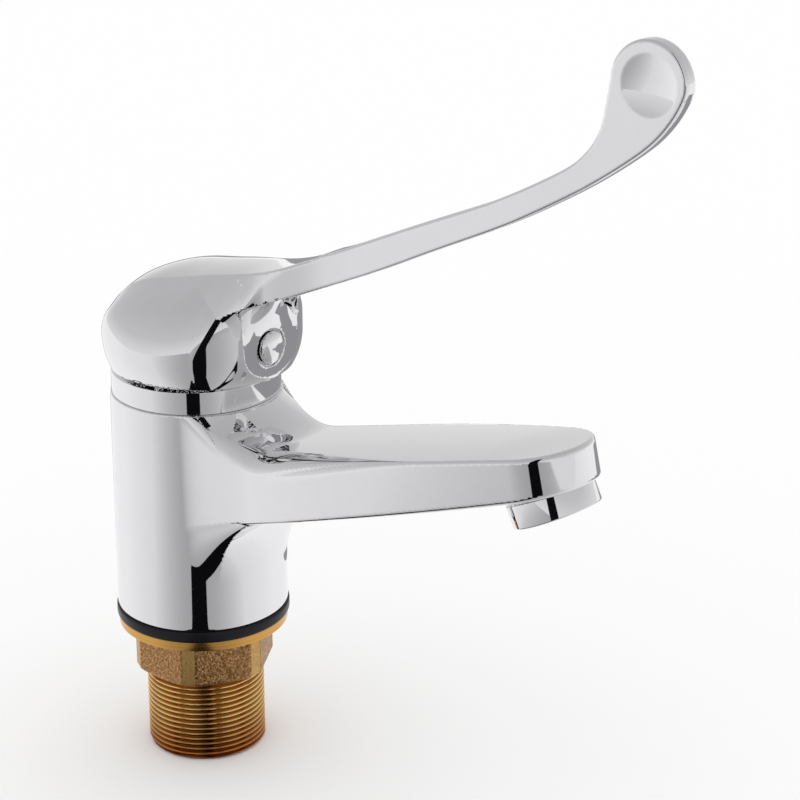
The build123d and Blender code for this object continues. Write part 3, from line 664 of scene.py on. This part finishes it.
def level_ring(radius, turns, height):
    """A level ring of points, whose radius may change from point to point."""
    return np.stack([radius * np.cos(turns), radius * np.sin(turns), np.full(len(turns), height)], 1)


def ring_faces(count, points_each, closed=True):
    """Four-sided faces between neighbouring rings, and from the last to the first if closed."""
    step = np.arange(points_each)
    following = (step + 1) % points_each
    faces = []
    for ring in range(count if closed else count - 1):
        here, there = ring * points_each, (ring + 1) % count * points_each
        faces.append(np.stack([here + step, here + following, there + following, there + step], 1))
    return np.concatenate(faces).tolist()


def skin(name, rings, body, node, sharp=35.0):
    """A mesh object through closed rings of points, the last joined to the first."""
    corners = (rings.reshape(-1, 3) * mm).tolist()
    mesh, piece = new_mesh(name, corners, ring_faces(rings.shape[0], rings.shape[1]))
    mesh.shade_smooth()
    mesh.set_sharp_from_angle(angle=math.radians(sharp))
    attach(piece, body)
    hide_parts(node)
    print(name, "has", len(mesh.polygons), "faces")


nearly_straight = math.radians(80)


def softened(profile, radius, steps=5):
    """A closed profile with its corners rounded; a corner that is nearly straight stays."""
    soft = []
    for index, corner in enumerate(profile):
        here = np.array(corner, float)
        before = np.array(profile[index - 1], float) - here
        after = np.array(profile[(index + 1) % len(profile)], float) - here
        room = min(np.linalg.norm(before), np.linalg.norm(after)) / 2.01
        before, after = before / np.linalg.norm(before), after / np.linalg.norm(after)
        half_turn = math.acos(max(-1.0, min(1.0, float(before @ after)))) / 2
        if half_turn > nearly_straight:
            soft.append(here)
            continue
        reach = min(radius / math.tan(half_turn), room)
        for share in np.linspace(0, 1, steps):
            start, end = here + before * reach, here + after * reach
            soft.append((1 - share) ** 2 * start + 2 * share * (1 - share) * here + share**2 * end)
    return np.array(soft)


def spun(name, profile, body, node, around=160, origin=(0, 0, 0), along=(0, 0, 1)):
    """A closed profile of radius and height, turned round an axis."""
    way = Vector(along).normalized()
    first = Vector((0, 1, 0))
    second = way.cross(first)
    turns = full_turn(around)
    spoke = np.cos(turns)[:, None] * np.array(first) + np.sin(turns)[:, None] * np.array(second)
    rings = [np.array(origin) + radius * spoke + height * np.array(way) for radius, height in profile]
    skin(name, np.array(rings), body, node)


# %% [markdown]
# The shank is brass tube with an M32 by 1.5 thread. Its ridges are cut as one long helix, so the height
# at which the radius dips moves round with the angle. The thread runs out into the chamfer of the foot
# and into the plain part that is fixed in the barrel.

# %% Cut the thread of the shank
thread_radius, thread_pitch, thread_depth = 16.0, 1.5, 0.72
crest_share, flank_share = 0.14, 0.62
thread_foot, thread_end, foot_chamfer = -38.9, 1.0, 0.9
thread_turns = full_turn(120)
thread_heights = np.arange(thread_foot, thread_end, thread_pitch / 10)
thread_phase = thread_heights[:, None] / thread_pitch - thread_turns[None, :] / (2 * math.pi)
thread_wave = abs((thread_phase % 1) * 2 - 1)
thread_radii = thread_radius - thread_depth * np.clip((thread_wave - crest_share) / flank_share, 0, 1)
chamfer_limit = thread_radius - np.clip(foot_chamfer - (thread_heights - thread_foot), 0, 1)
thread_radii = np.minimum(thread_radii, chamfer_limit[:, None])
plain_levels = [
    (16.0, 1.2), (16.0, 17.6), (15.6, 18.0), (13.8, 18.0), (13.4, 17.6), (13.4, -38.4), (13.8, -38.9)
]
shank_levels = [*zip(thread_radii, thread_heights), *plain_levels]
shank_rings = np.array([level_ring(radius, thread_turns, height) for radius, height in shank_levels])
skin("shank_thread", shank_rings, "casting", "shank", sharp=50)

# %% [markdown]
# The back nut is cast in sand and tumbled: a hexagon whose corners are cut off, with every edge worn
# round. Its radius at each angle is the nearest of twelve flats, softly blended, and the rings at the
# foot draw in for the worn edge.

# %% Cast the back nut
nut_bore, nut_flat, nut_corner = 16.08, 17.4, 18.9
nut_foot, nut_top, nut_edge = -15.6, -2.5, 0.5
unit_radius, edge_power = 18, 260.0


def nut_radius(turn):
    """Radius of the nut at an angle: six flats, and six cut corners between them."""
    flats = [(nut_flat, 30 + 60 * side) for side in range(6)]
    flats += [(nut_corner, 60 * side) for side in range(6)]
    nearness = 0
    for half_width, place in flats:
        facing = np.maximum(np.cos(turn - math.radians(place)), 1e-3)
        nearness = nearness + (half_width / unit_radius / facing) ** -edge_power
    return unit_radius * nearness ** (-1 / edge_power)


nut_turns = full_turn(360)
nut_outline = nut_radius(nut_turns)
nut_profile = [(nut_bore, nut_foot), (17.9, nut_foot), (nut_corner, -14.6)]
nut_profile += [(nut_corner, nut_top), (nut_bore, nut_top)]
nut_rings = []
for radius, height in softened(nut_profile, nut_edge):
    share = (radius - nut_bore) / (nut_corner - nut_bore)
    ring_radius = nut_bore + share * (nut_outline * nut_corner / nut_outline.max() - nut_bore)
    nut_rings.append(level_ring(ring_radius, nut_turns, height))
skin("nut_casting", np.array(nut_rings), "nut", "back_nut")

# %% [markdown]
# The other round pieces are lathe work. Their solids in the frame are right but have dead sharp edges,
# and real edges catch a line of light, so they are spun again from profiles with small radii.

# %% Spin the small rings
turned_edge, seal_edge, sleeve_edge = 0.25, 0.7, 0.35
sleeve_profile = [(20.0, 64.02), (22.3, 64.02), (22.3, 70.0), (21.5, 70.8)]
sleeve_profile += [(18.0, 70.8), (18.0, 69.6), (20.0, 69.6)]
plate_profile = [(nut_bore, -2.5), (22.85, -2.5), (22.85, 0.0), (nut_bore, 0.0)]
seal_profile = [(nut_bore, 0.0), (23.4, 0.0), (23.4, 3.1), (nut_bore, 3.1)]
spun("trim_sleeve", softened(sleeve_profile, turned_edge), "casting", "trim_ring")
spun("clamp_plate", softened(plate_profile, turned_edge), "washer", "clamp_washer")
spun("foot_seal", softened(seal_profile, seal_edge), "casting", "base_gasket")
outlet_profile = [(8.6, -5.5), (9.5, -5.5), (9.5, 0.0), (10.9, 0.0)]
outlet_profile += [(10.9, 5.9), (8.1, 5.9), (8.1, 4.9), (8.6, 4.9)]
spun(
    "outlet_sleeve", softened(outlet_profile, sleeve_edge),
    "casting", "aerator_housing", around=128, origin=outlet_centre, along=outlet_way,
)
button_profile = [(0.0, -3.0), (3.2, -3.0), (3.2, 0.0), (4.2, 0.0), (4.2, 0.45), (3.95, 0.75)]
button_profile += [(3.3, 1.1), (2.2, 1.42), (1.1, 1.57), (0.0, 1.6)]
spun(
    "button_dome", np.array(button_profile), "lever", "index_button",
    around=64, origin=(head_front, 0, button_height), along=(1, 0, 0),
)

# %% [markdown]
# ## Finishes
#
# Three effects are shared by several finishes, so each is a node group: the faint trace that buffing
# leaves on chrome, the fine rings that a lathe leaves on brass, and the grain of a sand casting. Each
# group puts out a mask and a height, and the material decides what to do with them.

# %% Node helpers


def new_group(name, label, outputs):
    """An empty node group, its one number input, and its output node."""
    group = bpy.data.node_groups.new(name, "ShaderNodeTree")
    group.interface.new_socket(name=label, in_out="INPUT", socket_type="NodeSocketFloat")
    for output in outputs:
        group.interface.new_socket(name=output, in_out="OUTPUT", socket_type="NodeSocketFloat")
    return group, group.nodes.new("NodeGroupInput").outputs[label], group.nodes.new("NodeGroupOutput")


def connect(tree, node, inputs):
    """Sets a node's inputs; each is a value or another node's output."""
    for name, value in inputs.items():
        if isinstance(value, bpy.types.NodeSocket):
            tree.links.new(value, node.inputs[name])
        else:
            node.inputs[name].default_value = value


def add(tree, kind, inputs=None, **settings):
    """A node with its settings and inputs."""
    node = tree.nodes.new(kind)
    for name, value in settings.items():
        setattr(node, name, value)
    connect(tree, node, inputs or {})
    return node


def own_place(tree):
    """Each point's place in the object's own coordinates."""
    return add(tree, "ShaderNodeTexCoord").outputs["Object"]


def parts_of(tree, vector):
    """The three parts of a vector, by the names X, Y and Z."""
    return add(tree, "ShaderNodeSeparateXYZ", {0: vector}).outputs


def maths(tree, operation, *values):
    """The result of an operation on one to three values."""
    return add(tree, "ShaderNodeMath", dict(enumerate(values)), operation=operation).outputs[0]


def vector_maths(tree, operation, *values, result="Vector"):
    """The result of an operation on one or two vectors."""
    return add(tree, "ShaderNodeVectorMath", dict(enumerate(values)), operation=operation).outputs[result]


def clouds(tree, place, scale, detail, roughness=0.5):
    """A cloudy mask."""
    inputs = {"Vector": place, "Scale": scale, "Detail": detail, "Roughness": roughness}
    return add(tree, "ShaderNodeTexNoise", inputs).outputs["Fac"]


# %% Buffing trace
buffing, fine_scale, buffing_end = new_group("buffing_trace", "Size", ["Haze", "Height"])
place = own_place(buffing)
broad, fine = clouds(buffing, place, 60.0, 3.0), clouds(buffing, place, fine_scale, 2.0)
connect(buffing, buffing_end, {"Haze": maths(buffing, "MULTIPLY", broad, fine), "Height": broad})

# %% Turning lines
turning, line_scale, turning_end = new_group("turning_lines", "Lines per metre", ["Lines", "Height"])
parts = parts_of(turning, own_place(turning))
squares = [maths(turning, "MULTIPLY", parts[axis], parts[axis]) for axis in ("X", "Y")]
radius = maths(turning, "SQRT", maths(turning, "ADD", *squares))
section = add(turning, "ShaderNodeCombineXYZ", {"X": radius, "Y": parts["Z"]}).outputs[0]
lines = clouds(turning, section, line_scale, 2.0)
connect(turning, turning_end, {"Lines": lines, "Height": lines})

# %% Sand grain
grain, grain_scale, grain_end = new_group("sand_grain", "Grains per metre", ["Specks", "Height"])
place = own_place(grain)
pits = add(grain, "ShaderNodeTexVoronoi", {"Vector": place, "Scale": grain_scale}).outputs["Distance"]
specks = clouds(grain, place, grain_scale, 5.0, 0.7)
connect(grain, grain_end, {"Specks": specks, "Height": maths(grain, "MULTIPLY", pits, specks)})
print("shared effects:", len(bpy.data.node_groups))

# %% [markdown]
# ## Materials
#
# Chrome plate is a mirror with a slight cool tint: it takes back about four fifths of the white studio.
# The rest of the finishes are machined brass, the threaded brass of the shank, sand-cast brass, black
# rubber, and the plain working materials inside, each with the unevenness that its making leaves.

# %% Material helpers


def start_material(name):
    """A material with the tree to add to, and its main shader."""
    material = bpy.data.materials.new(name)
    material.use_nodes = True
    return material, material.node_tree, material.node_tree.nodes["Principled BSDF"]


def place_group(tree, group, label, value):
    """The outputs of a shared effect, placed in a material with its own scale."""
    node = add(tree, "ShaderNodeGroup", node_tree=group)
    node.inputs[label].default_value = value
    return node.outputs


def ramp(tree, factor, stops):
    """A colour that follows a mask through the given stops of place and colour."""
    node = add(tree, "ShaderNodeValToRGB", {"Fac": factor})
    elements = node.color_ramp.elements
    for element, (place, colour) in ((elements[0], stops[0]), (elements[1], stops[-1])):
        element.position, element.color = place, (*colour, 1)
    for place, colour in stops[1:-1]:
        elements.new(place).color = (*colour, 1)
    return node.outputs["Color"]


def stretched(tree, value, start=0.0, end=1.0, low=0.0, high=1.0):
    """A mask that is low where a value is at start, and high where it is at end."""
    inputs = {"Value": value, "From Min": start, "From Max": end, "To Min": low, "To Max": high}
    return add(tree, "ShaderNodeMapRange", inputs).outputs["Result"]


def mixed(tree, share, one, other, blend_type="MIX"):
    """Two colours, mixed by a share."""
    node = add(tree, "ShaderNodeMix", data_type="RGBA", blend_type=blend_type)
    connect(tree, node, {0: share, 6: one, 7: other})
    return node.outputs[2]


def bump(tree, height, strength, distance):
    """A surface roughened by a height mask."""
    inputs = {"Height": height, "Strength": strength, "Distance": distance}
    return add(tree, "ShaderNodeBump", inputs).outputs["Normal"]


# %% Chrome
chrome, tree, shader = start_material("polished_chrome")
haze = place_group(tree, buffing, "Size", 420.0)["Haze"]
connect(tree, shader, {
    "Metallic": 1.0,
    "Base Color": ramp(tree, haze, [(0.1, (0.800, 0.797, 0.815)), (0.6, (0.775, 0.772, 0.790))]),
    "Roughness": stretched(tree, haze, low=0.03, high=0.055),
})

# %% Machined brass
brass, tree, shader = start_material("turned_brass")
traces = place_group(tree, turning, "Lines per metre", 4200.0)
connect(tree, shader, {
    "Metallic": 1.0,
    "Base Color": ramp(tree, traces["Lines"], [(0.3, (0.55, 0.27, 0.055)), (0.7, (0.72, 0.42, 0.12))]),
    "Roughness": stretched(tree, traces["Lines"], low=0.16, high=0.30),
    "Normal": bump(tree, traces["Height"], 0.25, 0.00006),
})

# %% [markdown]
# The thread's colour is darker in its valleys, which is painted shade, and bright on its crests, which is a
# painted highlight. Towards its foot it is a little darker and redder, so a second mask follows the height.

# %% Threaded brass
threaded, tree, shader = start_material("threaded_brass")
lines = place_group(tree, turning, "Lines per metre", 4200.0)["Lines"]
place = own_place(tree)
from_axis = vector_maths(tree, "LENGTH", vector_maths(tree, "MULTIPLY", place, (1, 1, 0)), result="Value")
# Painted shade in the thread's valleys and a painted highlight on its crests, by the distance from the axis.
crest_light_mask = stretched(tree, from_axis, 0.01528, 0.016)
painted_valley_shade_stops = [(0.0, (0.20, 0.075, 0.014)), (0.6, (0.60, 0.31, 0.075)), (1.0, (0.93, 0.64, 0.27))]
# Darker and redder towards the foot of the shank.
foot_mask = stretched(tree, parts_of(tree, place)["Z"], -0.026, -0.0385)
foot_tint = (0.50, 0.24, 0.12, 1)
connect(tree, shader, {
    "Metallic": 1.0,
    "Base Color": mixed(tree, foot_mask, ramp(tree, crest_light_mask, painted_valley_shade_stops), foot_tint, "MULTIPLY"),
    "Roughness": stretched(tree, lines, low=0.18, high=0.32),
})

# %% [markdown]
# Tumbling has rubbed the six cut corners of the nut smooth and bright, while its flats keep the dark,
# speckled skin of the sand. The cosine of six times the angle is high at the corners alone.

# %% Sand-cast brass
cast_brass, tree, shader = start_material("sand_cast_brass")
traces = place_group(tree, grain, "Grains per metre", 1500.0)
parts = parts_of(tree, own_place(tree))
turn = maths(tree, "ARCTAN2", parts["Y"], parts["X"])
corner = stretched(tree, maths(tree, "COSINE", maths(tree, "MULTIPLY", turn, 6.0)), 0.82, 0.88)
skin_stops = [(0.32, (0.11, 0.048, 0.014)), (0.5, (0.36, 0.18, 0.065)), (0.68, (0.76, 0.50, 0.26))]
rubbed_stops = [(0.32, (0.42, 0.24, 0.08)), (0.68, (0.66, 0.42, 0.16))]
sand_skin, rubbed = (ramp(tree, traces["Specks"], stops) for stops in (skin_stops, rubbed_stops))
relief = maths(tree, "MULTIPLY", traces["Height"], maths(tree, "MULTIPLY_ADD", corner, -0.75, 1.0))
connect(tree, shader, {
    "Metallic": 1.0,
    "Base Color": mixed(tree, corner, sand_skin, rubbed),
    "Roughness": stretched(tree, traces["Specks"], low=0.30, high=0.55),
    "Normal": bump(tree, relief, 0.8, 0.0003),
})

# %% Rubber, steel, ceramic and plastic


def plain_finish(name, dark, light, metallic, roughness, bump_depth, size, specular=0.5):
    """A working finish: a slightly uneven colour and roughness, and a shallow bump."""
    material, tree, shader = start_material(name)
    haze = place_group(tree, buffing, "Size", size)["Haze"]
    connect(tree, shader, {
        "Metallic": metallic,
        "Specular IOR Level": specular,
        "Base Color": ramp(tree, haze, [(0.15, dark), (0.4, light)]),
        "Roughness": stretched(tree, haze, low=roughness[0], high=roughness[1]),
        "Normal": bump(tree, haze, 0.3, bump_depth),
    })
    return material


rubber_dark, rubber_light = (0.004, 0.004, 0.006), (0.008, 0.008, 0.011)
steel_dark, steel_light = (0.50, 0.50, 0.51), (0.60, 0.60, 0.61)
ceramic_dark, ceramic_light = (0.80, 0.79, 0.76), (0.86, 0.85, 0.82)
plastic_dark, plastic_light = (0.74, 0.74, 0.72), (0.80, 0.80, 0.78)
rubber = plain_finish("black_rubber", rubber_dark, rubber_light, 0.0, (0.3, 0.42), 0.00003, 2500.0, 0.2)
steel = plain_finish("turned_steel", steel_dark, steel_light, 1.0, (0.2, 0.35), 0.00001, 2000.0)
ceramic = plain_finish("lapped_ceramic", ceramic_dark, ceramic_light, 0.0, (0.18, 0.3), 0.00001, 1500.0)
plastic = plain_finish("moulded_plastic", plastic_dark, plastic_light, 0.0, (0.35, 0.5), 0.00002, 1200.0)

# %% Give every piece its finish
finishes = {
    chrome: ["casting_skin", "lever_skin", "trim_sleeve", "outlet_sleeve", "button_dome"],
    brass: ["clamp_plate", "cartridge_nut", "stem"],
    threaded: ["shank_thread"],
    cast_brass: ["nut_casting"],
    rubber: ["foot_seal", "cartridge_seals", "aerator_washer"],
    steel: ["stem_pin", "grub_screw"],
    ceramic: ["fixed_disc", "moving_disc"],
    plastic: ["cartridge_housing", "cartridge_base", "disc_carrier", "rotor", "aerator_insert"],
}
for material, names in finishes.items():
    for name in names:
        mesh = bpy.data.objects[name].data
        mesh.materials.clear()
        mesh.materials.append(material)

# %% [markdown]
# ## The studio
#
# The tap was photographed in a white tent, so its chrome shows white all round, broken by the dark slot
# that the lens looks through. A white world lights the floor and whatever isn't polished. What the chrome
# mirrors is laid out on cards and sheets that only reflections can see. The slot is a black card on the
# side of the camera and a black strip on the floor in front of it.

# %% Floor
floor_height = -38.9 * mm
half_floor = 6.0


def card(name, corners, material, only_reflected=True, faces=None):
    """A sheet in the studio, with its corners in metres; one flat face unless faces are given."""
    mesh, sheet = new_mesh(name, corners, faces or [tuple(range(len(corners)))])
    mesh.materials.append(material)
    sheet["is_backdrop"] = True
    if only_reflected:
        for ray in ("camera", "diffuse", "shadow", "transmission"):
            setattr(sheet, f"visible_{ray}", False)
    print(name, "has", len(mesh.polygons), "faces")


def matt(name, level):
    """A matt paint of one colour, for cards and the floor."""
    material, tree, shader = start_material(name)
    connect(tree, shader, {"Base Color": (*level, 1), "Roughness": 1.0, "Specular IOR Level": 0.0})
    return material


quarters = [(-1, -1), (1, -1), (1, 1), (-1, 1)]
floor_corners = [(side * half_floor, end * half_floor, floor_height) for side, end in quarters]
card("floor", floor_corners, matt("pale_floor", (0.995, 0.995, 0.995)), only_reflected=False)

# %% World
world = bpy.data.worlds.new("tent")
bpy.context.scene.world = world
world.use_nodes = True
connect(world.node_tree, world.node_tree.nodes["Background"], {"Color": (1, 1, 1, 1), "Strength": 1.0})

# %% Black cards
slot_distance, slot_top = 0.75, 1.3
slot_half_width = slot_distance * math.tan(math.radians(8.5))
strip_stations = [(0.018, 0.018), (0.12, 0.0195), (slot_distance, slot_half_width)]
strip_height = floor_height + 0.0006


def towards_camera(distance, sideways, height):
    """A point at a distance from the barrel's axis towards the camera, and sideways from that line."""
    level = Vector((camera_back.x, camera_back.y, 0)).normalized()
    place = level * distance + camera_right * sideways
    return (place.x, place.y, height)


black = matt("black_card", (0.004, 0.004, 0.005))
left, right = (
    [towards_camera(distance, side * half_width, strip_height) for distance, half_width in strip_stations]
    for side in (-1, 1)
)
card("slot_strip", left + right[::-1], black)
slot_corners = [(-1, floor_height), (1, floor_height), (1, slot_top), (-1, slot_top)]
card(
    "slot_card",
    [towards_camera(slot_distance, side * slot_half_width, height) for side, height in slot_corners],
    black,
)

# %% [markdown]
# Beside the black cards the tent is not evenly bright. The table shines less towards the lens, because
# the lamps stand behind the tap, and the cloth overhead is greyer than at the horizon. Two large sheets
# carry these slow changes, and a grey card lies on the table behind the tap.

# %% Cloth of the tent
tent_radius = 3.0


def around(distance, turn, height):
    """A point at a distance from the barrel's axis, at an angle in degrees from the spout."""
    return (distance * math.cos(math.radians(turn)), distance * math.sin(math.radians(turn)), height)


def glowing(name, factor_from, stops):
    """A cloth that gives off grey light after a mask worked out from its own coordinates."""
    material, tree, shader = start_material(name)
    greys = [(place, (level, level, level)) for place, level in stops]
    connect(tree, shader, {
        "Base Color": (0, 0, 0, 1),
        "Roughness": 1.0,
        "Specular IOR Level": 0.0,
        "Emission Strength": 1.0,
        "Emission Color": ramp(tree, factor_from(tree, own_place(tree)), greys),
    })
    return material


def facing_the_lens(tree, place):
    """One straight towards the lens, nought straight away from it."""
    way = vector_maths(tree, "NORMALIZE", vector_maths(tree, "MULTIPLY", place, (1, 1, 0)))
    lens_way = (math.sin(camera_azimuth), -math.cos(camera_azimuth), 0)
    return stretched(tree, vector_maths(tree, "DOT_PRODUCT", way, lens_way, result="Value"), -1.0, 1.0)


def rise_above(tree, place):
    """Nought at the horizon and one overhead."""
    return parts_of(tree, vector_maths(tree, "NORMALIZE", place))["Z"]


table_stops = [(0.0, 1.0), (0.37, 1.0), (0.63, 0.9), (0.772, 0.84), (0.888, 0.63), (0.97, 0.47), (1.0, 0.42)]
table_cloth = glowing("table_cloth", facing_the_lens, table_stops)
table_edge = [around(tent_radius, turn, floor_height + 0.0003) for turn in range(0, 360, 15)]
card("table_sheet", table_edge, table_cloth)
roof_stops = [(0.0, 0.82), (0.1, 0.78), (0.34, 0.64), (0.8, 0.54), (1.0, 0.5)]
roof_cloth = glowing("roof_cloth", rise_above, roof_stops)
roof_rises = [math.radians(rise) for rise in (-0.7, 10, 20, 30, 40, 50, 60, 70, 80, 89)]
roof_corners = [
    around(tent_radius * math.cos(rise), turn, tent_radius * math.sin(rise))
    for rise in roof_rises
    for turn in range(0, 360, 10)
]
card("roof_sheet", roof_corners, roof_cloth, faces=ring_faces(len(roof_rises), 36, closed=False))

# %% Grey card
grey, tree, shader = start_material("grey_card")
connect(tree, shader, {
    "Base Color": (0.0, 0.0, 0.0, 1),
    "Emission Color": (0.33, 0.33, 0.345, 1),
    "Emission Strength": 1.0,
    "Specular IOR Level": 0.0,
})
grey_outline = [(0.32, 0.205), (0.32, 0.45), (0.02, 0.5), (-0.07, 1.4), (-1.21, 0.7), (-0.113, 0.065)]
grey_outline += [(-0.08, 0.105), (0.0, 0.13), (0.1, 0.205)]
card("back_card", [(x, y, floor_height + 0.0005) for x, y in grey_outline], grey)

# %% Check that the pieces stay inside the CAD box
made_low, made_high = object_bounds()
rounding = 1e-5
low_inside = all(made >= cad - rounding for made, cad in zip(made_low, cad_low))
high_inside = all(made <= cad + rounding for made, cad in zip(made_high, cad_high))
print("inside the CAD box:", low_inside and high_inside)
